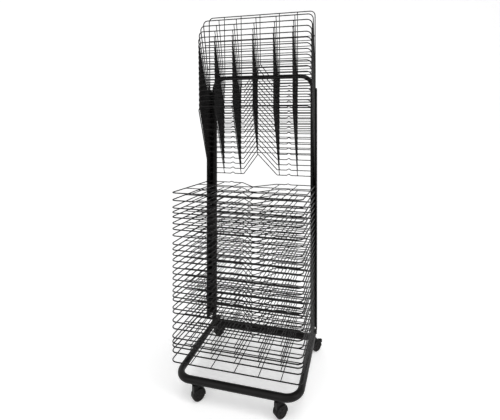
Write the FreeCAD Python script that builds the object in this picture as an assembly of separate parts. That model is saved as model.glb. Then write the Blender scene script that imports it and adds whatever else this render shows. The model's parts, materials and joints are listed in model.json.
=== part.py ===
import FreeCAD, Part
import math
import os

from FreeCAD import Rotation, Vector

# Wheeled art drying rack with forty-six hinged wire shelves. Millimetres, +Z up, front at -Y.
# The pieces are laid out about the middle of the base frame's tubes, on the floor, and are then
# moved so that the origin is under the middle of the whole rack.

# Shelf stack
PITCH = 22.2
PIVOT_Y = 149.0
LOWEST_PIVOT_Z = 122.2
# Tilt of each lowered shelf above level, bottom shelf first, in degrees
LOWERED_TILTS = [2.4, 4.3, 3.9, 2.2, 1.8, 3.6, 3.9, 5.5, 4.2, 5.3, 3.8, 3.1, 3.0, 3.0,
                 2.8, 2.7, 3.0, 2.7, 2.1, 1.7, 3.1, 3.2, 2.9, 2.9, 1.9, 1.1, 1.9, 2.7]
# Lean of the raised shelves ahead of upright, top shelf first, in degrees. Below these, each shelf
# leans a little less than the one above it, down to the lowest, which stands off in front.
TOP_LEANS = [1.4, 12.0, 17.0, 19.8, 20.9]
LEAN_STEP = 0.1
LOWEST_LEAN = 20.4
RAISED_COUNT = 18
# Lean that the lowered shelves reach when they are lifted, and tilt that the raised ones drop to
LIFTED_LEAN = 20.6
REST_TILT = 2.5

# Shelf wires
FRAME_WIRE_D = 4.2
HINGE_WIRE_D = 3.6
GRID_WIRE_D = 3.2
SHELF_HALF_WIDTH = 237.8
SHELF_LENGTH = 328.0
SHELF_CORNER_R = 20.0
HINGE_WIRE_AT = 17.0
GRID_SPACING = 104.0
CROSS_WIRES_X = [86.0, 164.0]
NOTCH_HALF_WIDTH = 75.0
NOTCH_DEPTH = 97.0
BUMP_X = 126.0
BUMP_HALF_WIDTH = 10.0
BUMP_RISE = 4.6
PIN_END_X = 245.2
PIN_BEND_R = 3.0
HINGE_BEND_R = 4.0

# Base and upright tubes
BASE_TUBE_D = 25.0
UPRIGHT_TUBE_D = 19.0
TUBE_WALL = 1.5
SIDE_X = 223.9
TUBE_Y = 167.6
BASE_TUBE_Z = 75.0
BASE_BEND_R = 52.0
SIDE_TUBE_END_Y = 206.0
UPRIGHT_TOP_Z = 1182.0
UPRIGHT_BEND_R = 52.0
LEG_REAR_Y = TUBE_Y + UPRIGHT_TUBE_D / 2
PLUG_T = 2.5
PLUG_INSERT_L = 8.0

# Hinge rails: Z-sections whose webs carry the shelves and whose rear flanges lap behind the legs
RAIL_WEB_X = 240.8
RAIL_SHEET = 1.5
RAIL_OUT_X = 246.0
RAIL_FRONT_Y = 133.0
RAIL_INNER_X = 216.0
RAIL_LOW_Z = 111.5
RAIL_HIGH_Z = 1127.0
PIN_HOLE_D = 4.3
TAB_T = 1.5
TAB_L = 2.0
TAB_IN_X = 236.0
TAB_GAP = 0.3
SCREW_HEIGHTS = [165.0, 620.0, 1075.0]
SCREW_D = 6.0
SCREW_HEAD_D = 12.0
SCREW_HEAD_H = 3.2
SCREW_CLEARANCE = 0.2
SOCKET_ACROSS = 4.0
SOCKET_DEPTH = 1.8

# Casters: the wheels trail the swivel by CASTER_TRAIL, in the direction of each caster's turn from +X
CASTER_TRAIL = 14.0
CASTER_TURNS = {"front_left": 50.0, "front_right": 48.0, "rear_left": 49.0, "rear_right": 48.0}
FRONT_CASTER_X = 150.0
REAR_CASTER_Y = 188.0
WHEEL_D = 44.0
WHEEL_W = 9.0
WHEEL_INNER_Y = 3.8
AXLE_D = 6.0
SPINE_T = 6.4
HOOD_OVER_WHEEL = 2.2
HOOD_HALF_W = 13.0
HOOD_LOW_Z = 18.0
BOSS_TOP_Z = 59.2
BOSS_BACK_X = -6.5
BOSS_FRONT_X = 11.0
BOSS_LOW_Z = 30.0
BOSS_HALF_W = 9.0
BOSS_ROUNDING = 6.0
WHEEL_GAP = 0.8
STEM_D = 11.0
STEM_TOP_Z = 82.0
COLLAR_D = 20.0
COLLAR_GAP = 0.3
SWIVEL_PIN_D = 8.0
SWIVEL_PIN_LOW_Z = 48.4
RUNNING_GAP = 0.05
END_GAP = 0.3
WHEEL_ROUNDING = 5.0
TREAD_CHAMFER = 1.0
HUB_R = 13.0
HUB_DISH = 2.0
AXLE_STICKS_OUT = 0.5

# Brake levers on the rear casters, each between two ears on the front of its hood
LEVER_PIVOT_X = 39.5
LEVER_PIVOT_Z = 33.5
LEVER_END_X = 48.5
LEVER_W = 13.0
LEVER_T = 3.0
LEVER_PIN_D = 3.0
EAR_GAP = 0.5
EAR_T = 2.5
EAR_R = 3.4
EAR_ROOT_X = 28.0

AXIS_X = Vector(1, 0, 0)
AXIS_Y = Vector(0, 1, 0)
AXIS_Z = Vector(0, 0, 1)
# How far the middle of a quarter arc stands back from its corner along each side, over its radius
ARC_MIDDLE = 1 - math.sqrt(0.5)


def save_nodes(nodes):
    """Write each node's solids to its STEP file, with the origin under the middle of the whole rack."""
    everything = Part.Compound([solid for solids in nodes.values() for solid in solids])
    middle = everything.optimalBoundingBox(False, False).Center
    shift = Vector(-round(middle.x, 1), -round(middle.y, 1), 0)
    print("moved to the origin by", shift.x, shift.y)
    for name, solids in nodes.items():
        shape = solids[0] if len(solids) == 1 else Part.Compound(solids)
        moved = shape.copy()
        moved.translate(shift)
        moved.exportStep(f"parts/{name}.step")


def bent_path(points, bend_r):
    """A wire through the points, with an arc of bend_r at each corner."""
    edges = []
    start = points[0]
    for before, corner, after in zip(points, points[1:], points[2:]):
        into = (corner - before).normalize()
        out = (after - corner).normalize()
        half_turn = into.getAngle(out) / 2
        setback = bend_r * math.tan(half_turn)
        arc_start = corner - into * setback
        arc_end = corner + out * setback
        inward = (out - into).normalize()
        arc_middle = corner + inward * bend_r * (1 / math.cos(half_turn) - 1)
        if arc_start.distanceToPoint(start) > 1e-6:
            edges.append(Part.LineSegment(start, arc_start).toShape())
        edges.append(Part.Arc(arc_start, arc_middle, arc_end).toShape())
        start = arc_end
    edges.append(Part.LineSegment(start, points[-1]).toShape())
    return Part.Wire(edges)


def bent_rod(points, bend_r, diameter):
    """A round rod bent along the points."""
    path = bent_path(points, bend_r)
    ring = Part.Wire(Part.makeCircle(diameter / 2, points[0], points[1] - points[0]))
    return path.makePipeShell([ring], True, False)


def straight_rod(start, end, diameter):
    along = end - start
    return Part.makeCylinder(diameter / 2, along.Length, start, along)


def bent_tube(points, bend_r, diameter):
    """A hollow tube bent along the points, open at both ends."""
    outside = bent_rod(points, bend_r, diameter)
    inside = bent_rod(points, bend_r, diameter - 2 * TUBE_WALL)
    return outside.cut(inside)


def mirrored_x(shape):
    return shape.mirror(Vector(0, 0, 0), AXIS_X)


# ---- Shelf, in its own frame: pivot axis along X at the origin, shelf towards -Y, top at +Z.
# Its nine wires touch where they are welded.

LONG_WIRE_Z = (FRAME_WIRE_D - GRID_WIRE_D) / 2
CROSS_WIRE_Z = LONG_WIRE_Z - GRID_WIRE_D
INNER_X = SHELF_HALF_WIDTH - FRAME_WIRE_D / 2


def butt_distance(wire_d):
    """How far from the middle of a level wire the top of a cross wire's end meets it."""
    below = CROSS_WIRE_Z + GRID_WIRE_D / 2
    return math.sqrt((wire_d / 2) ** 2 - below ** 2)


def shelf_frame_wire():
    """Both pins, both side wires and the front edge, bent from one rod."""
    pin = Vector(PIN_END_X, 0, 0)
    heel = Vector(SHELF_HALF_WIDTH, 0, 0)
    corner = Vector(SHELF_HALF_WIDTH, -SHELF_LENGTH, 0)
    right = bent_path([Vector(0, -SHELF_LENGTH, 0), corner, heel + Vector(0, -60, 0)], SHELF_CORNER_R)
    right_end = bent_path([heel + Vector(0, -60, 0), heel, pin], PIN_BEND_R)
    half = right.Edges + right_end.Edges
    other = [mirrored_x(edge) for edge in half]
    path = Part.Wire(Part.__sortEdges__(other + half))
    ring = Part.Wire(Part.makeCircle(FRAME_WIRE_D / 2, pin, AXIS_X))
    return path.makePipeShell([ring], True, False)


def hinge_wire():
    """The rear cross wire, with a stop bump each side of its central notch."""
    y = -HINGE_WIRE_AT
    bump_low = [Vector(BUMP_X + BUMP_HALF_WIDTH, y, 0), Vector(BUMP_X - BUMP_HALF_WIDTH, y, 0)]
    bump_top = Vector(BUMP_X, y - BUMP_RISE, BUMP_RISE)
    right = [Vector(INNER_X, y, 0), bump_low[0], bump_top, bump_low[1], Vector(NOTCH_HALF_WIDTH, y, 0)]
    left = [Vector(-p.x, p.y, p.z) for p in reversed(right)]
    notch = Vector(0, y - NOTCH_DEPTH, 0)
    return bent_rod(right + [notch] + left, HINGE_BEND_R, HINGE_WIRE_D)


def notch_tip_y():
    """Where the middle line of the hinge wire turns round the tip of its notch."""
    half_turn = math.atan2(NOTCH_DEPTH, NOTCH_HALF_WIDTH)
    return -HINGE_WIRE_AT - NOTCH_DEPTH + HINGE_BEND_R * (1 / math.cos(half_turn) - 1)


def long_wires():
    """The two wires between the side wires, flush with the top of the frame."""
    rows = [-HINGE_WIRE_AT - row * GRID_SPACING for row in (1, 2)]
    ends = [(Vector(-INNER_X, y, LONG_WIRE_Z), Vector(INNER_X, y, LONG_WIRE_Z)) for y in rows]
    return [straight_rod(start, end, GRID_WIRE_D) for start, end in ends]


def cross_wires():
    """The wires under the long ones, butted against the hinge wire and the front edge."""
    rear_y = -HINGE_WIRE_AT - butt_distance(HINGE_WIRE_D)
    middle_rear_y = notch_tip_y() - butt_distance(HINGE_WIRE_D)
    front_y = -SHELF_LENGTH + butt_distance(FRAME_WIRE_D)
    starts = [Vector(side * x, rear_y, CROSS_WIRE_Z) for x in CROSS_WIRES_X for side in (-1, 1)]
    starts.append(Vector(0, middle_rear_y, CROSS_WIRE_Z))
    return [straight_rod(start, Vector(start.x, front_y, CROSS_WIRE_Z), GRID_WIRE_D) for start in starts]


def make_shelf():
    return [shelf_frame_wire(), hinge_wire()] + long_wires() + cross_wires()


def shelf_angles():
    """Each shelf's angle above level at rest, bottom shelf first."""
    steps = range(1, RAISED_COUNT - len(TOP_LEANS))
    packed = [TOP_LEANS[-1] - LEAN_STEP * step for step in steps]
    leans = TOP_LEANS + packed + [LOWEST_LEAN]
    return LOWERED_TILTS + [90 - lean for lean in reversed(leans)]


def pivot_z(index):
    return LOWEST_PIVOT_Z + index * PITCH


def place_shelf(wires, index, angle):
    placed = placed_at(wires, Vector(0, 0, 0))
    for wire in placed:
        wire.rotate(Vector(0, 0, 0), AXIS_X, -angle)
        wire.translate(Vector(0, PIVOT_Y, pivot_z(index)))
    return placed


# ---- Frame

def side_tube_cores():
    """Solid rods where the base's side tubes run, to cope other tubes against."""
    length = SIDE_TUBE_END_Y + TUBE_Y
    starts = [Vector(side * SIDE_X, -TUBE_Y, BASE_TUBE_Z) for side in (-1, 1)]
    return [Part.makeCylinder(BASE_TUBE_D / 2, length, start, AXIS_Y) for start in starts]


def leg_cores():
    """Solid rods where the upright's legs run."""
    length = UPRIGHT_TOP_Z - UPRIGHT_BEND_R - BASE_TUBE_Z
    starts = [Vector(side * SIDE_X, TUBE_Y, BASE_TUBE_Z) for side in (-1, 1)]
    return [Part.makeCylinder(UPRIGHT_TUBE_D / 2, length, start, AXIS_Z) for start in starts]


def caster_places():
    """Swivel axes: front left, front right, rear left, rear right."""
    return {
        "front_left": Vector(-FRONT_CASTER_X, -TUBE_Y, 0),
        "front_right": Vector(FRONT_CASTER_X, -TUBE_Y, 0),
        "rear_left": Vector(-SIDE_X, REAR_CASTER_Y, 0),
        "rear_right": Vector(SIDE_X, REAR_CASTER_Y, 0),
    }


def make_base():
    """The U-shaped base tube, and the cross tube welded between its sides."""
    points = [Vector(-SIDE_X, SIDE_TUBE_END_Y, BASE_TUBE_Z), Vector(-SIDE_X, -TUBE_Y, BASE_TUBE_Z),
              Vector(SIDE_X, -TUBE_Y, BASE_TUBE_Z), Vector(SIDE_X, SIDE_TUBE_END_Y, BASE_TUBE_Z)]
    base = bent_tube(points, BASE_BEND_R, BASE_TUBE_D)
    for place in caster_places().values():
        tube_middle = place + Vector(0, 0, BASE_TUBE_Z)
        base = base.cut(Part.makeCylinder(STEM_D / 2 + RUNNING_GAP, BASE_TUBE_D / 2, tube_middle, -AXIS_Z))
    cross_ends = [Vector(-SIDE_X, TUBE_Y, BASE_TUBE_Z), Vector(SIDE_X, TUBE_Y, BASE_TUBE_Z)]
    cross_bore = straight_rod(*cross_ends, BASE_TUBE_D - 2 * TUBE_WALL)
    cross = straight_rod(*cross_ends, BASE_TUBE_D).cut(cross_bore)
    for core in side_tube_cores() + leg_cores():
        cross = cross.cut(core)
    return base, max(cross.Solids, key=lambda solid: solid.Volume)


def make_upright():
    """The upside-down U that stands on the base's side tubes."""
    points = [Vector(-SIDE_X, TUBE_Y, BASE_TUBE_Z), Vector(-SIDE_X, TUBE_Y, UPRIGHT_TOP_Z),
              Vector(SIDE_X, TUBE_Y, UPRIGHT_TOP_Z), Vector(SIDE_X, TUBE_Y, BASE_TUBE_Z)]
    upright = bent_tube(points, UPRIGHT_BEND_R, UPRIGHT_TUBE_D)
    for core in side_tube_cores():
        upright = upright.cut(core)
    for height in SCREW_HEIGHTS:
        for side in (-1, 1):
            start = Vector(side * SIDE_X, TUBE_Y, height)
            hole = Part.makeCylinder(SCREW_D / 2 + SCREW_CLEARANCE, UPRIGHT_TUBE_D, start, AXIS_Y)
            upright = upright.cut(hole)
    return max(upright.Solids, key=lambda solid: solid.Volume)


def raised_angle(index):
    """How far a shelf goes up."""
    return max(shelf_angles()[index], 90 - LIFTED_LEAN)


def rest_tab(index):
    """The right rail's tab under a shelf's side wire, as long as the raised wire below it allows."""
    tilt = (LOWERED_TILTS + [REST_TILT] * RAISED_COUNT)[index]
    drop = FRAME_WIRE_D / 2 + TAB_GAP
    below = math.radians(raised_angle(max(index - 1, 0)))
    reach = ((PITCH - drop - TAB_T) * math.cos(below) - drop) / math.sin(below)
    top_z = pivot_z(index) - drop + reach * math.tan(math.radians(tilt))
    corner = Vector(TAB_IN_X, PIVOT_Y - reach, top_z - TAB_T)
    return Part.makeBox(RAIL_WEB_X + RAIL_SHEET / 2 - TAB_IN_X, TAB_L, TAB_T, corner)


def pin_hole(index):
    """A cutter for a shelf's pin hole through the right rail's web."""
    start = Vector(RAIL_WEB_X - RAIL_SHEET, PIVOT_Y, pivot_z(index))
    return Part.makeCylinder(PIN_HOLE_D / 2, 3 * RAIL_SHEET, start, AXIS_X)


def screw_hole(height):
    """A cutter for a screw's hole through the right rail's rear flange."""
    start = Vector(SIDE_X, TUBE_Y, height)
    return Part.makeCylinder(SCREW_D / 2 + SCREW_CLEARANCE, UPRIGHT_TUBE_D, start, AXIS_Y)


def rail_section():
    """The right rail's section: a front flange outward, the web, and a rear flange behind the leg."""
    web_outer_x = RAIL_WEB_X + RAIL_SHEET
    front_inner_y = RAIL_FRONT_Y + RAIL_SHEET
    rear_outer_y = LEG_REAR_Y + RAIL_SHEET
    outline = [
        (RAIL_WEB_X, RAIL_FRONT_Y),
        (RAIL_OUT_X, RAIL_FRONT_Y),
        (RAIL_OUT_X, front_inner_y),
        (web_outer_x, front_inner_y),
        (web_outer_x, rear_outer_y),
        (RAIL_INNER_X, rear_outer_y),
        (RAIL_INNER_X, LEG_REAR_Y),
        (RAIL_WEB_X, LEG_REAR_Y),
    ]
    return outline_face([Vector(x, y, RAIL_LOW_Z) for x, y in outline], {})


def make_right_rail():
    """A Z-section with a pin hole and a rest tab for every shelf."""
    rail = rail_section().extrude(AXIS_Z * (RAIL_HIGH_Z - RAIL_LOW_Z))
    numbers = range(len(shelf_angles()))
    pin_holes = [pin_hole(index) for index in numbers]
    screw_holes = [screw_hole(height) for height in SCREW_HEIGHTS]
    rail = rail.cut(Part.Compound(pin_holes + screw_holes))
    return rail.multiFuse([rest_tab(index) for index in numbers])


def caster_stem(place):
    """The stem pushed into the base tube, its collar, and the pin the hood turns on."""
    collar_z = BOSS_TOP_Z + COLLAR_GAP
    tube_low_z = BASE_TUBE_Z - BASE_TUBE_D / 2
    foot = place + Vector(0, 0, collar_z)
    stem = Part.makeCylinder(STEM_D / 2, STEM_TOP_Z - collar_z, foot, AXIS_Z)
    collar = Part.makeCylinder(COLLAR_D / 2, tube_low_z - collar_z, foot, AXIS_Z)
    pin_foot = place + Vector(0, 0, SWIVEL_PIN_LOW_Z)
    pin = Part.makeCylinder(SWIVEL_PIN_D / 2, collar_z - SWIVEL_PIN_LOW_Z, pin_foot, AXIS_Z)
    return stem.multiFuse([collar, pin]).removeSplitter()


def hex_socket(centre):
    """A cutter for a hexagon socket that opens towards +Y."""
    radius = SOCKET_ACROSS / math.sqrt(3)
    turns = [math.radians(60 * number) for number in range(6)]
    corners = [centre + Vector(radius * math.cos(turn), 0, radius * math.sin(turn)) for turn in turns]
    return outline_face(corners, {}).extrude(AXIS_Y * SCREW_HEAD_H)


def rail_screw(height):
    """The screw from behind the right rail's rear flange into the leg."""
    inside = Vector(SIDE_X, TUBE_Y, height)
    head_foot = Vector(SIDE_X, LEG_REAR_Y + RAIL_SHEET, height)
    shank = Part.makeCylinder(SCREW_D / 2, head_foot.y - inside.y, inside, AXIS_Y)
    head = Part.makeCylinder(SCREW_HEAD_D / 2, SCREW_HEAD_H, head_foot, AXIS_Y)
    socket = hex_socket(head_foot + AXIS_Y * (SCREW_HEAD_H - SOCKET_DEPTH))
    return shank.fuse(head).removeSplitter().cut(socket)


def end_plug(side):
    """The plug in the open rear end of one of the base's side tubes."""
    end = Vector(side * SIDE_X, SIDE_TUBE_END_Y, BASE_TUBE_Z)
    cap = Part.makeCylinder(BASE_TUBE_D / 2, PLUG_T, end, AXIS_Y)
    insert = Part.makeCylinder(BASE_TUBE_D / 2 - TUBE_WALL - RUNNING_GAP, PLUG_INSERT_L, end, -AXIS_Y)
    return cap.fuse(insert).removeSplitter()


def make_fittings():
    """The screws that hold the rails to the legs, the caster stems, and the base tube's end plugs."""
    solids = []
    for height in SCREW_HEIGHTS:
        screw = rail_screw(height)
        solids += [screw, mirrored_x(screw)]
    solids += [caster_stem(place) for place in caster_places().values()]
    solids += [end_plug(side) for side in (-1, 1)]
    return solids


# ---- Caster, with its swivel axis along Z at the origin and the floor at z = 0

def outline_face(corners, arc_middles):
    """A face whose outline runs through the corners; an arc leaves each corner that has an arc middle."""
    edges = []
    for number, (start, end) in enumerate(zip(corners, corners[1:] + corners[:1])):
        if number in arc_middles:
            edges.append(Part.Arc(start, arc_middles[number], end).toShape())
        else:
            edges.append(Part.LineSegment(start, end).toShape())
    return Part.Face(Part.Wire(edges))


def rounded_disc(radius, inner_y, outer_y, rounding):
    """A disc about the Y axis with a round outer edge."""
    cut_back = rounding * ARC_MIDDLE
    corners = [
        Vector(0, inner_y, 0),
        Vector(radius, inner_y, 0),
        Vector(radius, outer_y - rounding, 0),
        Vector(radius - rounding, outer_y, 0),
        Vector(0, outer_y, 0),
    ]
    section = outline_face(corners, {2: Vector(radius - cut_back, outer_y - cut_back, 0)})
    return section.revolve(Vector(0, 0, 0), AXIS_Y, 360)


def round_wheels(margin, inner_y):
    """Discs over both wheels, larger than them by a margin, from inner_y outward."""
    radius = WHEEL_D / 2 + margin
    disc = rounded_disc(radius, inner_y, WHEEL_INNER_Y + WHEEL_W + margin, WHEEL_ROUNDING + margin)
    return placed_at([disc, disc.mirror(Vector(0, 0, 0), AXIS_Y)], Vector(CASTER_TRAIL, 0, WHEEL_D / 2))


def boss_outline():
    """The swivel boss seen from the side, with a straight slope down to the hood's round front."""
    hood_r = WHEEL_D / 2 + HOOD_OVER_WHEEL
    across = BOSS_FRONT_X - CASTER_TRAIL
    up = BOSS_TOP_Z - WHEEL_D / 2
    meets = math.atan2(up, across) - math.acos(hood_r / math.hypot(across, up))
    foot_x = CASTER_TRAIL + hood_r * math.cos(meets)
    corners = [
        Vector(BOSS_BACK_X, 0, BOSS_LOW_Z),
        Vector(BOSS_BACK_X, 0, BOSS_TOP_Z),
        Vector(BOSS_FRONT_X, 0, BOSS_TOP_Z),
        Vector(foot_x, 0, WHEEL_D / 2 + hood_r * math.sin(meets)),
        Vector(foot_x, 0, BOSS_LOW_Z),
    ]
    return outline_face(corners, {})


def boss_rounding():
    """A bar along X whose section has round shoulders, to round the boss's sides."""
    start_x = -2 * WHEEL_D
    side_top = BOSS_TOP_Z - BOSS_ROUNDING
    flat = BOSS_HALF_W - BOSS_ROUNDING
    cut_back = BOSS_ROUNDING * ARC_MIDDLE
    middle_y = BOSS_HALF_W - cut_back
    middle_z = BOSS_TOP_Z - cut_back
    corners = [
        Vector(start_x, -BOSS_HALF_W, 0),
        Vector(start_x, -BOSS_HALF_W, side_top),
        Vector(start_x, -flat, BOSS_TOP_Z),
        Vector(start_x, flat, BOSS_TOP_Z),
        Vector(start_x, BOSS_HALF_W, side_top),
        Vector(start_x, BOSS_HALF_W, 0),
    ]
    arc_middles = {1: Vector(start_x, -middle_y, middle_z), 3: Vector(start_x, middle_y, middle_z)}
    return outline_face(corners, arc_middles).extrude(AXIS_X * 4 * WHEEL_D)


def ear_outer_y():
    return LEVER_W / 2 + EAR_GAP + EAR_T


def lever_pin(radius):
    """A rod on the lever's axis, from the outside of one ear to the outside of the other."""
    start = Vector(LEVER_PIVOT_X, -ear_outer_y(), LEVER_PIVOT_Z)
    return Part.makeCylinder(radius, 2 * ear_outer_y(), start, AXIS_Y)


def brake_ears():
    """The two ears on the hood's front that hold the lever's pin."""
    ears = []
    for start_y in (-ear_outer_y(), ear_outer_y() - EAR_T):
        pivot = Vector(LEVER_PIVOT_X, start_y, LEVER_PIVOT_Z)
        corner = Vector(EAR_ROOT_X, start_y, LEVER_PIVOT_Z - EAR_R)
        ears.append(Part.makeBox(LEVER_PIVOT_X - EAR_ROOT_X, EAR_T, 2 * EAR_R, corner))
        ears.append(Part.makeCylinder(EAR_R, EAR_T, pivot, AXIS_Y))
    return ears


def make_hood(with_brake):
    """The hood over both wheels, with the spine between them that carries the axle."""
    low_corner = Vector(-2 * WHEEL_D, -HOOD_HALF_W, HOOD_LOW_Z)
    between_sides = Part.makeBox(4 * WHEEL_D, 2 * HOOD_HALF_W, BOSS_TOP_Z, low_corner)
    dome, other_dome = [disc.common(between_sides) for disc in round_wheels(HOOD_OVER_WHEEL, 0)]
    outline = boss_outline()
    outline.translate(-AXIS_Y * BOSS_HALF_W)
    boss = outline.extrude(AXIS_Y * 2 * BOSS_HALF_W).common(boss_rounding())
    hood = dome.multiFuse([other_dome, boss] + (brake_ears() if with_brake else []))
    for room in round_wheels(WHEEL_GAP, SPINE_T / 2):
        hood = hood.cut(room)
    axle = Vector(CASTER_TRAIL, 0, WHEEL_D / 2)
    hood = hood.fuse(Part.makeCylinder(AXLE_D, SPINE_T, axle - AXIS_Y * SPINE_T / 2, AXIS_Y))
    bore_start = axle - AXIS_Y * HOOD_HALF_W
    hood = hood.cut(Part.makeCylinder(AXLE_D / 2 + RUNNING_GAP, 2 * HOOD_HALF_W, bore_start, AXIS_Y))
    pin_low = Vector(0, 0, SWIVEL_PIN_LOW_Z - END_GAP)
    hood = hood.cut(Part.makeCylinder(SWIVEL_PIN_D / 2 + RUNNING_GAP, BOSS_TOP_Z, pin_low, AXIS_Z))
    if with_brake:
        hood = hood.cut(lever_pin(LEVER_PIN_D / 2 + RUNNING_GAP))
    return max(hood.Solids, key=lambda solid: solid.Volume)


def make_wheels():
    """Two wheels and the axle that joins them."""
    r = WHEEL_D / 2
    inner = WHEEL_INNER_Y
    outer = inner + WHEEL_W
    cut_back = WHEEL_ROUNDING * ARC_MIDDLE
    corners = [
        Vector(AXLE_D / 2, inner, 0),
        Vector(r - TREAD_CHAMFER, inner, 0),
        Vector(r, inner + TREAD_CHAMFER, 0),
        Vector(r, outer - WHEEL_ROUNDING, 0),
        Vector(r - WHEEL_ROUNDING, outer, 0),
        Vector(HUB_R, outer, 0),
        Vector(HUB_R - HUB_DISH, outer - HUB_DISH, 0),
        Vector(AXLE_D / 2, outer - HUB_DISH, 0),
    ]
    section = outline_face(corners, {3: Vector(r - cut_back, outer - cut_back, 0)})
    wheel = section.revolve(Vector(0, 0, 0), AXIS_Y, 360)
    other = wheel.mirror(Vector(0, 0, 0), AXIS_Y)
    half = outer - HUB_DISH + AXLE_STICKS_OUT
    axle = Part.makeCylinder(AXLE_D / 2, 2 * half, -AXIS_Y * half, AXIS_Y)
    return placed_at([wheel, other, axle], Vector(CASTER_TRAIL, 0, WHEEL_D / 2))


def make_lever():
    """The brake lever and its pin."""
    half = LEVER_W / 2
    pivot_end = Vector(LEVER_PIVOT_X, -half, LEVER_PIVOT_Z)
    tip_centre = Vector(LEVER_END_X - half, 0, LEVER_PIVOT_Z)
    eye = Part.makeCylinder(LEVER_T, LEVER_W, pivot_end, AXIS_Y)
    arm = Part.makeBox(tip_centre.x - LEVER_PIVOT_X, LEVER_W, LEVER_T, pivot_end)
    tip = Part.makeCylinder(half, LEVER_T, tip_centre, AXIS_Z, 180)
    tip.rotate(tip_centre, AXIS_Z, -90)
    lever = eye.multiFuse([arm, tip]).removeSplitter()
    lever = lever.cut(Part.makeCylinder(LEVER_PIN_D / 2, LEVER_W, pivot_end, AXIS_Y))
    return [lever, lever_pin(LEVER_PIN_D / 2)]


def placed_at(solids, place, turn=0.0):
    """Copies of the solids, turned about +Z by some degrees and then moved."""
    moved = [solid.copy() for solid in solids]
    for solid in moved:
        solid.rotate(Vector(0, 0, 0), AXIS_Z, turn)
        solid.translate(place)
    return moved


def build_shelves():
    shelf = make_shelf()
    angles = shelf_angles()
    return {f"shelf_{index + 1:02d}": place_shelf(shelf, index, angle) for index, angle in enumerate(angles)}


def build_casters():
    nodes = {}
    for name, place in caster_places().items():
        turn = CASTER_TURNS[name]
        braked = name.startswith("rear")
        nodes[f"caster_hood_{name}"] = placed_at([make_hood(braked)], place, turn)
        nodes[f"caster_wheels_{name}"] = placed_at(make_wheels(), place, turn)
        if braked:
            nodes[f"brake_lever_{name}"] = placed_at(make_lever(), place, turn)
    return nodes


def build_frame():
    rail = make_right_rail()
    return {
        "base_frame": list(make_base()),
        "upright_frame": [make_upright()],
        "hinge_rails": [rail.Solids[0], mirrored_x(rail).Solids[0]],
        "frame_fittings": make_fittings(),
    }


os.makedirs("parts", exist_ok=True)
save_nodes({**build_shelves(), **build_casters(), **build_frame()})
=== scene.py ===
import bmesh
import bpy
import json
import math
from mathutils import Matrix, Vector


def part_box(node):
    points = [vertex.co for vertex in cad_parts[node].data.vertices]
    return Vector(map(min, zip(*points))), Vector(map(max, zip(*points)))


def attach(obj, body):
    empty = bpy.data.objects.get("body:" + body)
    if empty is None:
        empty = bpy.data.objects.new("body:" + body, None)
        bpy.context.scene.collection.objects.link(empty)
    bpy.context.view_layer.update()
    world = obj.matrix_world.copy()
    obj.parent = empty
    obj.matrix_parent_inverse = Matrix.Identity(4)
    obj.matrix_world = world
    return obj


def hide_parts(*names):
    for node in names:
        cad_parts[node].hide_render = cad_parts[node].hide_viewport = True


# Wheeled art drying rack. Metres, +Z up, front at -Y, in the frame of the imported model.

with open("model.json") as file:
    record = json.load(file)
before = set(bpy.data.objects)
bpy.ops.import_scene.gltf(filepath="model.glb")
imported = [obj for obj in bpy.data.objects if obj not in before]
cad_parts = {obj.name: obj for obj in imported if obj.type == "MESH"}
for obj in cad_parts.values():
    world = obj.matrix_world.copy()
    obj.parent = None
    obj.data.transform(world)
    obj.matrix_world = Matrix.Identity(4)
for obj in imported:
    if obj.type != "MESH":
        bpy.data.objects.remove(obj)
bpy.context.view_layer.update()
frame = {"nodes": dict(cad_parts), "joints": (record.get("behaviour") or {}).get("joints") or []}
print("frame loaded", len(frame["nodes"]), "nodes")

mm = 0.001

# Node helpers

allFinishes = {"specular": 0.13, "edgeSamples": 4}


def addNode(tree, kind, **settings):
    node = tree.nodes.new(kind)
    for key, value in settings.items():
        setattr(node, key, value)
    return node


def setInputs(node, values):
    for key, value in values.items():
        node.inputs[key].default_value = value


def mathNode(tree, operation, first, second, clamp=False):
    node = addNode(tree, "ShaderNodeMath", operation=operation, use_clamp=clamp)
    for number, value in enumerate((first, second)):
        if isinstance(value, float):
            node.inputs[number].default_value = value
        else:
            tree.links.new(value, node.inputs[number])
    return node.outputs[0]


def rangeNode(tree, value, fromLow, fromHigh, toLow=0.0, toHigh=1.0):
    node = addNode(tree, "ShaderNodeMapRange", clamp=True)
    setInputs(node, {"From Min": fromLow, "From Max": fromHigh, "To Min": toLow, "To Max": toHigh})
    tree.links.new(value, node.inputs["Value"])
    return node.outputs["Result"]


def noiseNode(tree, place, noise):
    node = addNode(tree, "ShaderNodeTexNoise")
    setInputs(node, {"Scale": noise["scale"], "Detail": noise["detail"],
                     "Roughness": noise.get("roughness", 0.5)})
    tree.links.new(place, node.inputs["Vector"])
    if "between" not in noise:
        return node.outputs["Fac"]
    return rangeNode(tree, node.outputs["Fac"], *noise["between"], *noise.get("gives", (0.0, 1.0)))


def mixColour(tree, factor, colour, shade):
    node = addNode(tree, "ShaderNodeMix", data_type="RGBA")
    sockets = {socket.name: socket for socket in node.inputs if socket.enabled}
    tree.links.new(factor, sockets["Factor"])
    tree.links.new(colour, sockets["A"])
    sockets["B"].default_value = shade
    return next(socket for socket in node.outputs if socket.enabled)


def scaleColour(tree, colour, factor):
    node = addNode(tree, "ShaderNodeVectorMath", operation="SCALE")
    tree.links.new(colour, node.inputs[0])
    tree.links.new(factor, node.inputs["Scale"])
    return node.outputs[0]


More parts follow.
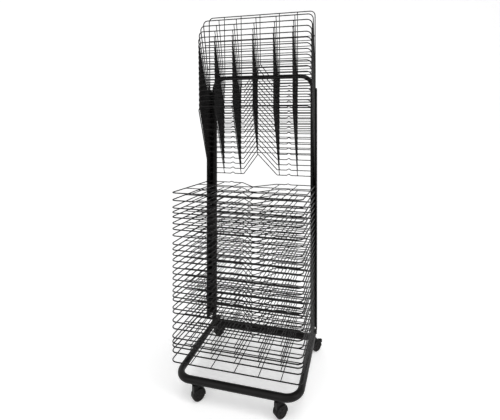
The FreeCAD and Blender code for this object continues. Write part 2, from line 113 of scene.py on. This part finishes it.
def edgeNodes(tree, radius, between):
    # the normal with its edges rounded, and a mask of those edges
    rounded = addNode(tree, "ShaderNodeBevel", samples=allFinishes["edgeSamples"])
    rounded.inputs["Radius"].default_value = radius
    agree = addNode(tree, "ShaderNodeVectorMath", operation="DOT_PRODUCT")
    tree.links.new(rounded.outputs["Normal"], agree.inputs[0])
    tree.links.new(addNode(tree, "ShaderNodeNewGeometry").outputs["Normal"], agree.inputs[1])
    return rounded.outputs["Normal"], rangeNode(tree, agree.outputs["Value"], *between)


def heightOf(tree, vector):
    parts = addNode(tree, "ShaderNodeSeparateXYZ")
    tree.links.new(vector, parts.inputs[0])
    return parts.outputs["Z"]


def bumpNode(tree, height, normal, strength, depth):
    node = addNode(tree, "ShaderNodeBump")
    setInputs(node, {"Strength": strength, "Distance": depth})
    tree.links.new(height, node.inputs["Height"])
    tree.links.new(normal, node.inputs["Normal"])
    return node.outputs["Normal"]


def newGroup(name, inputs, outputs):
    group = bpy.data.node_groups.new(name, "ShaderNodeTree")
    for socketName, kind, default in inputs:
        socket = group.interface.new_socket(socketName, in_out="INPUT", socket_type=kind)
        socket.default_value = default
    for socketName, kind in outputs:
        group.interface.new_socket(socketName, in_out="OUTPUT", socket_type=kind)
    start = group.nodes.new("NodeGroupInput")
    end = group.nodes.new("NodeGroupOutput")
    return group, start, end


# Powder coat on the metal

coatLook = {
    "tube": {"colour": (0.0062, 0.0055, 0.0055), "roughness": 0.36, "wear": 0.35, "dust": 0.12},
    "wire": {"colour": (0.0052, 0.0047, 0.0047), "roughness": 0.36, "wear": 0.2, "dust": 0.08},
    "sheet": {"colour": (0.0052, 0.0047, 0.0047), "roughness": 0.38, "wear": 0.35, "dust": 0.08},
    "fittings": {"colour": (0.0055, 0.0051, 0.0051), "roughness": 0.42, "wear": 0.35, "dust": 0.08},
}

coatShades = {"worn": (0.03, 0.028, 0.027, 1), "dust": (0.04, 0.038, 0.036, 1)}

# Each noise has its scale, in features per metre, and the values between which it is spread out
coatNoise = {
    "mottle": {"scale": 14.0, "detail": 3.0, "between": (0.3, 0.7), "gives": (0.72, 1.35)},
    "edgePatches": {"scale": 55.0, "detail": 4.0, "roughness": 0.62, "between": (0.47, 0.62)},
    "scuffArea": {"scale": 21.0, "detail": 2.0, "between": (0.6, 0.7)},
    "scuffGrain": {"scale": 420.0, "detail": 4.0, "roughness": 0.7, "between": (0.56, 0.66)},
    "dust": {"scale": 38.0, "detail": 5.0, "roughness": 0.65, "between": (0.38, 0.75)},
    "cloud": {"scale": 33.0, "detail": 3.0, "between": (0.3, 0.7), "gives": (-0.05, 0.06)},
    "peel": {"scale": 520.0, "detail": 2.0, "roughness": 0.45},
    "fine": {"scale": 2100.0, "detail": 2.0},
}

coatDetail = {
    "edgeRadius": 0.7 * mm,
    "edgeBetween": (0.995, 0.93),  # how far the rounded normal agrees with the true one
    "scuffs": 0.35,
    "upward": (0.35, 1.0),         # the normal's Z where dust starts and where it is full
    "dustRoughness": 0.3,
    "wornRoughness": 0.12,
    "fineShare": 0.35,
    "bumpStrength": 0.35,
    "bumpDepth": 0.12 * mm,
}


def makeCoatGroup():
    group, start, end = newGroup(
        "powderCoat",
        [("Colour", "NodeSocketColor", (0.02, 0.02, 0.02, 1)), ("Base Roughness", "NodeSocketFloat", 0.36),
         ("Wear", "NodeSocketFloat", 0.5), ("Dust", "NodeSocketFloat", 0.3)],
        [("Colour", "NodeSocketColor"), ("Roughness", "NodeSocketFloat"), ("Normal", "NodeSocketVector")])
    links = group.links
    place = addNode(group, "ShaderNodeTexCoord").outputs["Object"]
    geometry = addNode(group, "ShaderNodeNewGeometry")
    noise = {name: noiseNode(group, place, settings) for name, settings in coatNoise.items()}
    colour = scaleColour(group, start.outputs["Colour"], noise["mottle"])

    normal, edge = edgeNodes(group, coatDetail["edgeRadius"], coatDetail["edgeBetween"])
    edgeWear = mathNode(group, "MULTIPLY", edge, noise["edgePatches"])
    scuffs = mathNode(group, "MULTIPLY", noise["scuffArea"], noise["scuffGrain"])
    scuffs = mathNode(group, "MULTIPLY", scuffs, coatDetail["scuffs"])
    wearMask = mathNode(group, "MAXIMUM", edgeWear, scuffs)
    worn = mathNode(group, "MULTIPLY", wearMask, start.outputs["Wear"], clamp=True)
    colour = mixColour(group, worn, colour, coatShades["worn"])

    upward = rangeNode(group, heightOf(group, geometry.outputs["Normal"]), *coatDetail["upward"])
    dustMask = mathNode(group, "MULTIPLY", upward, noise["dust"])
    dust = mathNode(group, "MULTIPLY", dustMask, start.outputs["Dust"], clamp=True)
    colour = mixColour(group, dust, colour, coatShades["dust"])
    links.new(colour, end.inputs["Colour"])

    dusty = mathNode(group, "MULTIPLY", dust, coatDetail["dustRoughness"])
    bare = mathNode(group, "MULTIPLY", worn, coatDetail["wornRoughness"])
    rough = mathNode(group, "ADD", start.outputs["Base Roughness"], noise["cloud"])
    rough = mathNode(group, "ADD", rough, dusty)
    rough = mathNode(group, "ADD", rough, bare, clamp=True)
    links.new(rough, end.inputs["Roughness"])

    fine = mathNode(group, "MULTIPLY", noise["fine"], coatDetail["fineShare"])
    height = mathNode(group, "ADD", noise["peel"], fine)
    bumped = bumpNode(group, height, normal, coatDetail["bumpStrength"], coatDetail["bumpDepth"])
    links.new(bumped, end.inputs["Normal"])
    return group


# Moulded plastic on the casters

plasticLook = {
    "hood": {"colour": (0.006, 0.0057, 0.0057), "roughness": 0.45, "grain": 1.0},
    "wheel": {"colour": (0.0075, 0.0072, 0.0072), "roughness": 0.5, "grain": 0.6},
    "lever": {"colour": (0.0068, 0.0065, 0.0065), "roughness": 0.45, "grain": 0.8},
}

plasticShades = {"rubbed": (0.07, 0.068, 0.066, 1), "dirt": (0.11, 0.1, 0.09, 1)}

plasticNoise = {
    "cloud": {"scale": 60.0, "detail": 3.0, "between": (0.3, 0.7), "gives": (0.75, 1.3)},
    "edgePatches": {"scale": 90.0, "detail": 3.0, "between": (0.42, 0.62)},
    "dirt": {"scale": 130.0, "detail": 4.0, "roughness": 0.6, "between": (0.4, 0.7)},
    "vary": {"scale": 45.0, "detail": 3.0, "between": (0.3, 0.7), "gives": (-0.06, 0.07)},
    "grain": {"scale": 1900.0, "detail": 2.0},
}

plasticDetail = {
    "edgeRadius": 0.8 * mm,
    "edgeBetween": (0.99, 0.9),
    "rubbed": 0.5,
    "dirtBelow": 30.0 * mm,
    "dirt": 0.45,
    "dirtRoughness": 0.25,
    "bumpStrength": 0.4,
    "bumpDepth": 0.08 * mm,
}


def makePlasticGroup():
    group, start, end = newGroup(
        "mouldedPlastic",
        [("Colour", "NodeSocketColor", (0.02, 0.02, 0.02, 1)), ("Base Roughness", "NodeSocketFloat", 0.45),
         ("Grain", "NodeSocketFloat", 1.0)],
        [("Colour", "NodeSocketColor"), ("Roughness", "NodeSocketFloat"), ("Normal", "NodeSocketVector")])
    links = group.links
    place = addNode(group, "ShaderNodeTexCoord").outputs["Object"]
    geometry = addNode(group, "ShaderNodeNewGeometry")
    noise = {name: noiseNode(group, place, settings) for name, settings in plasticNoise.items()}
    colour = scaleColour(group, start.outputs["Colour"], noise["cloud"])

    normal, edge = edgeNodes(group, plasticDetail["edgeRadius"], plasticDetail["edgeBetween"])
    rubbed = mathNode(group, "MULTIPLY", edge, noise["edgePatches"])
    rubbed = mathNode(group, "MULTIPLY", rubbed, plasticDetail["rubbed"])
    colour = mixColour(group, rubbed, colour, plasticShades["rubbed"])

    height = heightOf(group, geometry.outputs["Position"])
    low = rangeNode(group, height, plasticDetail["dirtBelow"], 0.0)
    dirt = mathNode(group, "MULTIPLY", low, noise["dirt"])
    shown = mathNode(group, "MULTIPLY", dirt, plasticDetail["dirt"])
    colour = mixColour(group, shown, colour, plasticShades["dirt"])
    links.new(colour, end.inputs["Colour"])

    dirty = mathNode(group, "MULTIPLY", dirt, plasticDetail["dirtRoughness"])
    rough = mathNode(group, "ADD", start.outputs["Base Roughness"], noise["vary"])
    rough = mathNode(group, "ADD", rough, dirty, clamp=True)
    links.new(rough, end.inputs["Roughness"])

    grain = mathNode(group, "MULTIPLY", noise["grain"], start.outputs["Grain"])
    bumped = bumpNode(group, grain, normal, plasticDetail["bumpStrength"], plasticDetail["bumpDepth"])
    links.new(bumped, end.inputs["Normal"])
    return group


def makeMaterial(name, group, values):
    material = bpy.data.materials.new(name)
    material.use_nodes = True
    tree = material.node_tree
    shader = tree.nodes["Principled BSDF"]
    shader.inputs["Specular IOR Level"].default_value = allFinishes["specular"]
    effect = addNode(tree, "ShaderNodeGroup", node_tree=group)
    setInputs(effect, values)
    tree.links.new(effect.outputs["Colour"], shader.inputs["Base Color"])
    tree.links.new(effect.outputs["Roughness"], shader.inputs["Roughness"])
    tree.links.new(effect.outputs["Normal"], shader.inputs["Normal"])
    return material


def coatMaterial(name, group, look):
    values = {"Colour": (*look["colour"], 1), "Base Roughness": look["roughness"],
              "Wear": look["wear"], "Dust": look["dust"]}
    return makeMaterial(name, group, values)


def plasticMaterial(name, group, look):
    values = {"Colour": (*look["colour"], 1), "Base Roughness": look["roughness"], "Grain": look["grain"]}
    return makeMaterial(name, group, values)


coatGroup = makeCoatGroup()
plasticGroup = makePlasticGroup()
tubeCoat = coatMaterial("tubeCoat", coatGroup, coatLook["tube"])
wireCoat = coatMaterial("wireCoat", coatGroup, coatLook["wire"])
sheetCoat = coatMaterial("sheetCoat", coatGroup, coatLook["sheet"])
fittingCoat = coatMaterial("fittingCoat", coatGroup, coatLook["fittings"])
hoodPlastic = plasticMaterial("hoodPlastic", plasticGroup, plasticLook["hood"])
wheelPlastic = plasticMaterial("wheelPlastic", plasticGroup, plasticLook["wheel"])
leverPlastic = plasticMaterial("leverPlastic", plasticGroup, plasticLook["lever"])
print("materials made")


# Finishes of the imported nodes

def finishOf(node):
    if node.startswith("shelf"):
        return wireCoat
    if node.startswith("caster_hood"):
        return hoodPlastic
    if node.startswith("caster_wheels"):
        return wheelPlastic
    if node.startswith("brake_lever"):
        return leverPlastic
    return {"hinge_rails": sheetCoat, "frame_fittings": fittingCoat}.get(node, tubeCoat)


for nodeName, nodeObject in frame["nodes"].items():
    for materialSlot in nodeObject.material_slots:
        materialSlot.material = finishOf(nodeName)
print("nodes finished")


# Making and placing pieces

def finishMesh(bm, name, material, sharpAngle=40.0):
    # smooth shading with the hard edges kept sharp
    for face in bm.faces:
        face.smooth = True
    bmesh.ops.recalc_face_normals(bm, faces=bm.faces)
    mesh = bpy.data.meshes.new(name)
    bm.to_mesh(mesh)
    bm.free()
    mesh.set_sharp_from_angle(angle=math.radians(sharpAngle))
    mesh.materials.append(material)
    return mesh


def addPiece(name, mesh, body):
    piece = bpy.data.objects.new(name, mesh)
    bpy.context.scene.collection.objects.link(piece)
    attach(piece, body)
    return piece


def jointOf(body):
    return next(joint for joint in frame["joints"] if joint["child"] == body)


# Shelf welds

# The shelf's wires, in its own frame: its hinge axis along X, its depth along -Y
shelfWires = {
    "innerX": 235.7 * mm,
    "hingeAt": 17.0 * mm,
    "rowSpacing": 104.0 * mm,
    "frontAt": 328.0 * mm,
    "crossX": (86.0 * mm, 164.0 * mm),
    "notchTip": 113.0 * mm,
    "buttBack": 1.6 * mm,   # how far a cross wire's end is from the middle of the wire that it butts against
    "crossingZ": -1.1 * mm,
    "weldRadius": 2.6 * mm,
    "weldHeight": 1.9 * mm,
    "weldDivisions": 2,
}


def shelfHinge(name):
    # the place of a shelf's hinge axis, and how far the shelf is tilted up from level
    pivot = Vector(jointOf(name)["pos_m"])
    mesh = frame["nodes"][name].data
    far = max((vertex.co for vertex in mesh.vertices), key=lambda co: (co.yz - pivot.yz).length)
    return pivot, math.atan2(far.z - pivot.z, pivot.y - far.y)


def weldPlaces():
    # where a shelf's wires cross or meet, in the shelf's frame
    rows = [shelfWires["hingeAt"] + number * shelfWires["rowSpacing"] for number in (1, 2)]
    rear = shelfWires["hingeAt"] + shelfWires["buttBack"]
    front = shelfWires["frontAt"] - shelfWires["buttBack"]
    low = shelfWires["crossingZ"]
    places = [Vector((0, -y, low)) for y in [shelfWires["notchTip"]] + rows + [front]]
    for x in shelfWires["crossX"]:
        for y in [rear] + rows + [front]:
            places += [Vector((x, -y, low)), Vector((-x, -y, low))]
    for y in [shelfWires["hingeAt"]] + rows:
        places += [Vector((shelfWires["innerX"], -y, 0)), Vector((-shelfWires["innerX"], -y, 0))]
    return places


def makeShelfWelds():
    bm = bmesh.new()
    for place in weldPlaces():
        size = (shelfWires["weldRadius"], shelfWires["weldRadius"], shelfWires["weldHeight"], 1)
        lump = Matrix.Translation(place) @ Matrix.Diagonal(size)
        divisions = shelfWires["weldDivisions"]
        bmesh.ops.create_icosphere(bm, subdivisions=divisions, radius=1.0, matrix=lump)
    return finishMesh(bm, "shelfWelds", wireCoat)


weldMesh = makeShelfWelds()
shelfNames = sorted(name for name in frame["nodes"] if name.startswith("shelf_"))
for shelfName in shelfNames:
    pivot, angle = shelfHinge(shelfName)
    welds = addPiece(shelfName.replace("shelf_", "shelf_welds_"), weldMesh, shelfName)
    welds.matrix_world = Matrix.Translation(pivot) @ Matrix.Rotation(-angle, 4, "X")
print("shelf welds added")


# Wheels: each pair with its axle, turned about the axle's direction

wheelShape = {
    "radius": 22.0 * mm,
    "inner": 3.8 * mm,
    "outer": 12.8 * mm,
    "axleRadius": 3.0 * mm,
    "treadRound": 5.0 * mm,
    "innerRound": 0.9 * mm,
    "innerCut": 0.27 * mm,   # how deep that rounding's middle lies in from both faces
    "crown": 0.25 * mm,
    "treadSteps": 6,
    "rimRadius": 15.4 * mm,
    "recess": 1.7 * mm,
    "hubRadius": 7.6 * mm,
    "hubDrop": 0.3 * mm,
    "capRadius": 4.4 * mm,
    "capGroove": 0.7 * mm,
    "draft": 0.5 * mm,
    "ribs": 6,
    "ribDrop": 0.5 * mm,
    "ribSegments": 3,
    "segmentsPerRib": 12,
    "sharpAngle": 32.0,
}


def wheelProfile():
    # (radius, distance out along the axle, whether ribs stand there), from the axle's middle outward
    r = wheelShape["radius"]
    inner = wheelShape["inner"]
    outer = wheelShape["outer"]
    edge = wheelShape["innerRound"]
    cut = wheelShape["innerCut"]
    turn = wheelShape["treadRound"]
    floor = outer - wheelShape["recess"]
    rim = wheelShape["rimRadius"]
    hub = wheelShape["hubRadius"]
    hubTop = outer - wheelShape["hubDrop"]
    cap = wheelShape["capRadius"]
    draft = wheelShape["draft"]
    shoulder = r - wheelShape["crown"]
    profile = [(wheelShape["axleRadius"], 0.0, False), (wheelShape["axleRadius"], inner, False)]
    profile += [(shoulder - edge, inner, False), (shoulder - cut, inner + cut, False)]
    profile += [(shoulder, inner + edge, False), (r, (inner + outer - turn) / 2 + edge, False)]
    for step in range(wheelShape["treadSteps"] + 1):
        angle = math.pi / 2 * step / wheelShape["treadSteps"]
        profile.append((r - turn + turn * math.cos(angle), outer - turn + turn * math.sin(angle), False))
    profile += [(rim + draft, outer, False), (rim, hubTop, False), (rim - draft, floor, True)]
    profile += [(hub + draft, floor, True), (hub, hubTop - draft, False), (hub - draft, hubTop, False)]
    profile += [(cap + draft, hubTop, False), (cap, hubTop - wheelShape["capGroove"], False)]
    profile += [(cap - draft, hubTop - draft, False), (cap / 2, outer - draft, False)]
    return profile


def makeWheelPair():
    # a turned shape about Y, with ribs across the recess of each outer face
    half = wheelProfile()
    rings = [(r, -y, ribbed) for r, y, ribbed in reversed(half[1:])] + half
    ribTop = wheelShape["outer"] - wheelShape["ribDrop"]
    segments = wheelShape["ribs"] * wheelShape["segmentsPerRib"]
    bm = bmesh.new()
    loops = []
    for r, y, ribbed in rings:
        loop = []
        for number in range(segments):
            angle = 2 * math.pi * number / segments
            onRib = ribbed and number % wheelShape["segmentsPerRib"] < wheelShape["ribSegments"]
            along = math.copysign(ribTop, y) if onRib else y
            loop.append(bm.verts.new((r * math.cos(angle), along, r * math.sin(angle))))
        loops.append(loop)
    for first, second in zip(loops, loops[1:]):
        for number in range(segments):
            after = (number + 1) % segments
            bm.faces.new((first[number], first[after], second[after], second[number]))
    for loop, side in ((loops[0], -1), (loops[-1], 1)):
        pole = bm.verts.new((0, side * (wheelShape["outer"] - wheelShape["hubDrop"]), 0))
        for number in range(segments):
            bm.faces.new((loop[number], loop[(number + 1) % segments], pole))
    return finishMesh(bm, "wheelPair", wheelPlastic, wheelShape["sharpAngle"])


def turnedTo(joint):
    # the place of a caster's piece: +Y along its joint's axis
    axis = joint["axis"]
    turn = math.atan2(-axis[0], axis[1])
    return Matrix.Translation(joint["pos_m"]) @ Matrix.Rotation(turn, 4, "Z")


wheelMesh = makeWheelPair()
brakedCasters = ("rear_left", "rear_right")
for casterName in ("front_left", "front_right") + brakedCasters:
    wheelPair = addPiece("wheel_pair_" + casterName, wheelMesh, "wheels_" + casterName)
    wheelPair.matrix_world = turnedTo(jointOf("wheels_" + casterName))
    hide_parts("caster_wheels_" + casterName)
print("wheels made")


# Ribs on the brake levers, in the lever's own frame: its pin along Y, the lever towards +X

leverRibs = {
    "firstX": 1.2 * mm,
    "spacing": 2.2 * mm,
    "count": 3,
    "halfLength": 4.6 * mm,
    "halfWidth": 0.55 * mm,
    "top": 3.5 * mm,
    "low": 2.6 * mm,
    "rounding": 0.3 * mm,
    "roundingSteps": 2,
}


def makeLeverRibs():
    bm = bmesh.new()
    height = leverRibs["top"] - leverRibs["low"]
    for number in range(leverRibs["count"]):
        middle = (leverRibs["firstX"] + number * leverRibs["spacing"], 0, leverRibs["low"] + height / 2)
        size = (2 * leverRibs["halfWidth"], 2 * leverRibs["halfLength"], height, 1)
        bmesh.ops.create_cube(bm, size=1.0, matrix=Matrix.Translation(middle) @ Matrix.Diagonal(size))
    bmesh.ops.bevel(bm, geom=bm.edges[:], offset=leverRibs["rounding"],
                    segments=leverRibs["roundingSteps"], affect="EDGES")
    return finishMesh(bm, "leverRibs", leverPlastic)


ribMesh = makeLeverRibs()
for casterName in brakedCasters:
    ribs = addPiece("lever_ribs_" + casterName, ribMesh, "brake_" + casterName)
    ribs.matrix_world = turnedTo(jointOf("brake_" + casterName))
print("lever ribs made")


# Weld beads where the frame's tubes meet

tubeWelds = {
    "sideX": 223.9 * mm,
    "tubeZ": 75.0 * mm,
    "baseRadius": 12.5 * mm,
    "legRadius": 9.5 * mm,
    "beadRadius": 1.7 * mm,
    "beadInset": 0.3 * mm,
    "ripple": 0.16,
    "ripples": 34,
    "steps": 136,
    "sides": 8,
    "sharpAngle": 80.0,
}


def footCurve(turn):
    # round the foot of a leg, on the side tube
    r = tubeWelds["legRadius"]
    x = r * math.cos(turn)
    return Vector((x, r * math.sin(turn), math.sqrt(tubeWelds["baseRadius"] ** 2 - x * x)))


def crossCurve(turn):
    # round the end of the cross tube, on the inner side of the right side tube
    r = tubeWelds["baseRadius"]
    z = r * math.sin(turn)
    return Vector((-math.sqrt(max(r * r - z * z, 0.0)) - tubeWelds["beadInset"], r * math.cos(turn), z))


def addBead(bm, curve, place, mirror):
    steps = tubeWelds["steps"]
    sides = tubeWelds["sides"]
    points = [curve(2 * math.pi * number / steps) for number in range(steps)]
    loops = []
    for number, point in enumerate(points):
        along = (points[(number + 1) % steps] - points[number - 1]).normalized()
        outward = point.normalized()
        across = along.cross(outward).normalized()
        wave = math.cos(2 * math.pi * tubeWelds["ripples"] * number / steps)
        radius = tubeWelds["beadRadius"] * (1 + tubeWelds["ripple"] * wave)
        loop = []
        for side in range(sides):
            angle = 2 * math.pi * side / sides
            spot = point + outward * radius * math.cos(angle) + across * radius * math.sin(angle)
            loop.append(bm.verts.new((place.x + mirror * spot.x, place.y + spot.y, place.z + spot.z)))
        loops.append(loop)
    for number, loop in enumerate(loops):
        other = loops[(number + 1) % steps]
        for side in range(sides):
            after = (side + 1) % sides
            bm.faces.new((loop[side], loop[after], other[after], other[side]))


def makeTubeWelds():
    # the frame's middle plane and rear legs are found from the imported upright
    low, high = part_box("upright_frame")
    middleX = (low[0] + high[0]) / 2
    legY = (low[1] + high[1]) / 2
    bm = bmesh.new()
    for side in (-1, 1):
        place = Vector((middleX + side * tubeWelds["sideX"], legY, tubeWelds["tubeZ"]))
        addBead(bm, footCurve, place, side)
        addBead(bm, crossCurve, place, side)
    return finishMesh(bm, "tubeWelds", tubeCoat, tubeWelds["sharpAngle"])


addPiece("tube_welds", makeTubeWelds(), "frame")
print("tube welds made")


# Stage, lights and camera

stageSet = {
    "frontY": -6.0,
    "backY": 2.2,
    "halfWidth": 9.0,
    "height": 6.0,
    "curve": 1.6,
    "curveSteps": 16,
    "colour": (0.93, 0.93, 0.93),
    "roughness": 0.9,
    "specular": 0.1,
    # what the camera and reflections see on top of the light that falls on it,
    # more towards the backdrop's left end, where less light falls
    "seenGlow": 0.36,
    "endGlow": 0.54,
    "endX": (-4.5, -0.8),
}

lights = {
    "top": {"place": (0.3, -0.5, 3.4), "aim": (0.0, 0.0, 0.5), "size": (3.2, 2.6), "power": 38.0},
    "right": {"place": (3.0, -0.9, 1.6), "aim": (0.0, 0.0, 0.7), "size": (1.2, 2.4), "power": 30.0},
    "front": {"place": (-1.2, -3.4, 2.0), "aim": (0.0, 0.0, 0.6), "size": (2.4, 2.0), "power": 22.0},
}
worldLight = {"onObject": 0.5, "seen": 1.0}

cameraView = {
    "place": (0.41246, -1.29636, 1.00765),
    "turn": 13.48,
    "lens": 24.57,
    "sensor": 36.0,
    "shiftX": -0.0563,
    "shiftY": -0.186,
    "farthest": 50.0,
}


def seenDirectly(tree):
    # 1 for the camera and for reflections, 0 for the light that falls on things
    path = addNode(tree, "ShaderNodeLightPath")
    first = mathNode(tree, "MAXIMUM", path.outputs["Is Camera Ray"], path.outputs["Is Glossy Ray"])
    return mathNode(tree, "MAXIMUM", first, path.outputs["Is Transmission Ray"])


def stagePaper():
    material = bpy.data.materials.new("stagePaper")
    material.use_nodes = True
    tree = material.node_tree
    shader = tree.nodes["Principled BSDF"]
    setInputs(shader, {"Base Color": (*stageSet["colour"], 1), "Roughness": stageSet["roughness"],
                       "Specular IOR Level": stageSet["specular"], "Emission Color": (1, 1, 1, 1)})
    place = addNode(tree, "ShaderNodeSeparateXYZ")
    tree.links.new(addNode(tree, "ShaderNodeNewGeometry").outputs["Position"], place.inputs[0])
    glow = rangeNode(tree, place.outputs["X"], *stageSet["endX"], stageSet["endGlow"], stageSet["seenGlow"])
    seenGlow = mathNode(tree, "MULTIPLY", seenDirectly(tree), glow)
    tree.links.new(seenGlow, shader.inputs["Emission Strength"])
    return material


def makeStage():
    # a pale floor that curves up into a backdrop
    profile = [(stageSet["frontY"], 0.0), (stageSet["backY"], 0.0)]
    for step in range(1, stageSet["curveSteps"] + 1):
        turn = math.pi / 2 * step / stageSet["curveSteps"]
        profile.append((stageSet["backY"] + stageSet["curve"] * math.sin(turn),
                        stageSet["curve"] * (1 - math.cos(turn))))
    profile.append((stageSet["backY"] + stageSet["curve"], stageSet["height"]))
    bm = bmesh.new()
    left, right = [[bm.verts.new((x, y, z)) for y, z in profile]
                   for x in (-stageSet["halfWidth"], stageSet["halfWidth"])]
    for number in range(len(profile) - 1):
        bm.faces.new((left[number], right[number], right[number + 1], left[number + 1]))
    floor = bpy.data.objects.new("stageFloor", finishMesh(bm, "stageFloor", stagePaper()))
    bpy.context.scene.collection.objects.link(floor)


def addLight(name, settings):
    data = bpy.data.lights.new(name, "AREA")
    data.shape = "RECTANGLE"
    data.size, data.size_y = settings["size"]
    data.energy = settings["power"]
    lamp = bpy.data.objects.new(name, data)
    bpy.context.scene.collection.objects.link(lamp)
    lamp.location = settings["place"]
    lamp.rotation_euler = (Vector(settings["aim"]) - lamp.location).to_track_quat("-Z", "Y").to_euler()


def lightWorld():
    world = bpy.data.worlds.new("studio")
    bpy.context.scene.world = world
    world.use_nodes = True
    tree = world.node_tree
    background = tree.nodes["Background"]
    background.inputs["Color"].default_value = (1, 1, 1, 1)
    strength = rangeNode(tree, seenDirectly(tree), 0.0, 1.0, worldLight["onObject"], worldLight["seen"])
    tree.links.new(strength, background.inputs["Strength"])


def addCamera():
    data = bpy.data.cameras.new("camera")
    data.sensor_width = cameraView["sensor"]
    data.lens = cameraView["lens"]
    data.shift_x = cameraView["shiftX"]
    data.shift_y = cameraView["shiftY"]
    data.clip_end = cameraView["farthest"]
    camera = bpy.data.objects.new("camera", data)
    bpy.context.scene.collection.objects.link(camera)
    camera.location = cameraView["place"]
    camera.rotation_euler = (math.pi / 2, 0, math.radians(cameraView["turn"]))
    bpy.context.scene.camera = camera


makeStage()
lightWorld()
for lightName, lightSettings in lights.items():
    addLight(lightName, lightSettings)
addCamera()
bpy.context.scene.view_settings.view_transform = "Standard"
print("stage, lights and camera set")
